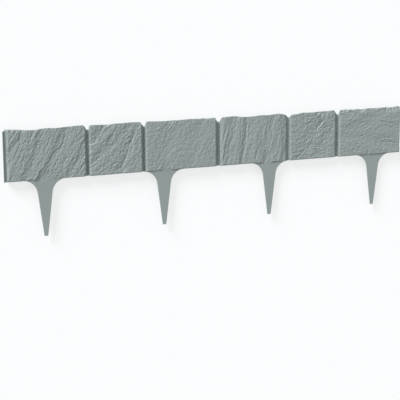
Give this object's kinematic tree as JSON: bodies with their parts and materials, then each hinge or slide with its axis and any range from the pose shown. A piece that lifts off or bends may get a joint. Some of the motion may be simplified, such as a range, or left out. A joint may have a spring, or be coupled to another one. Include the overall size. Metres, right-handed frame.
{
  "type": "plastic lawn edging strip",
  "caption": "Long, low garden border strip moulded in grey plastic as a row of cleft stone blocks with narrow grooves between, on tapered ground spikes.",
  "frame": {"origin": "on the floor under the middle of the strip's bounding box, in the plane of the back rim", "axes": "+X along the strip, from the left end with its curled lip to the plain right end; +Y from the spikes towards the broken top edge; +Z out of the stone faces. The strip lies on its back, as it would lie unheld on a floor."},
  "size_m": [0.7824, 0.1858, 0.014],
  "materials": {
    "moulded_grey": "matte grey injection-moulded polypropylene with a fine cleft-stone relief"
  },
  "bodies": {
    "root": {"edging": "moulded_grey"}
  },
  "joints": []
}
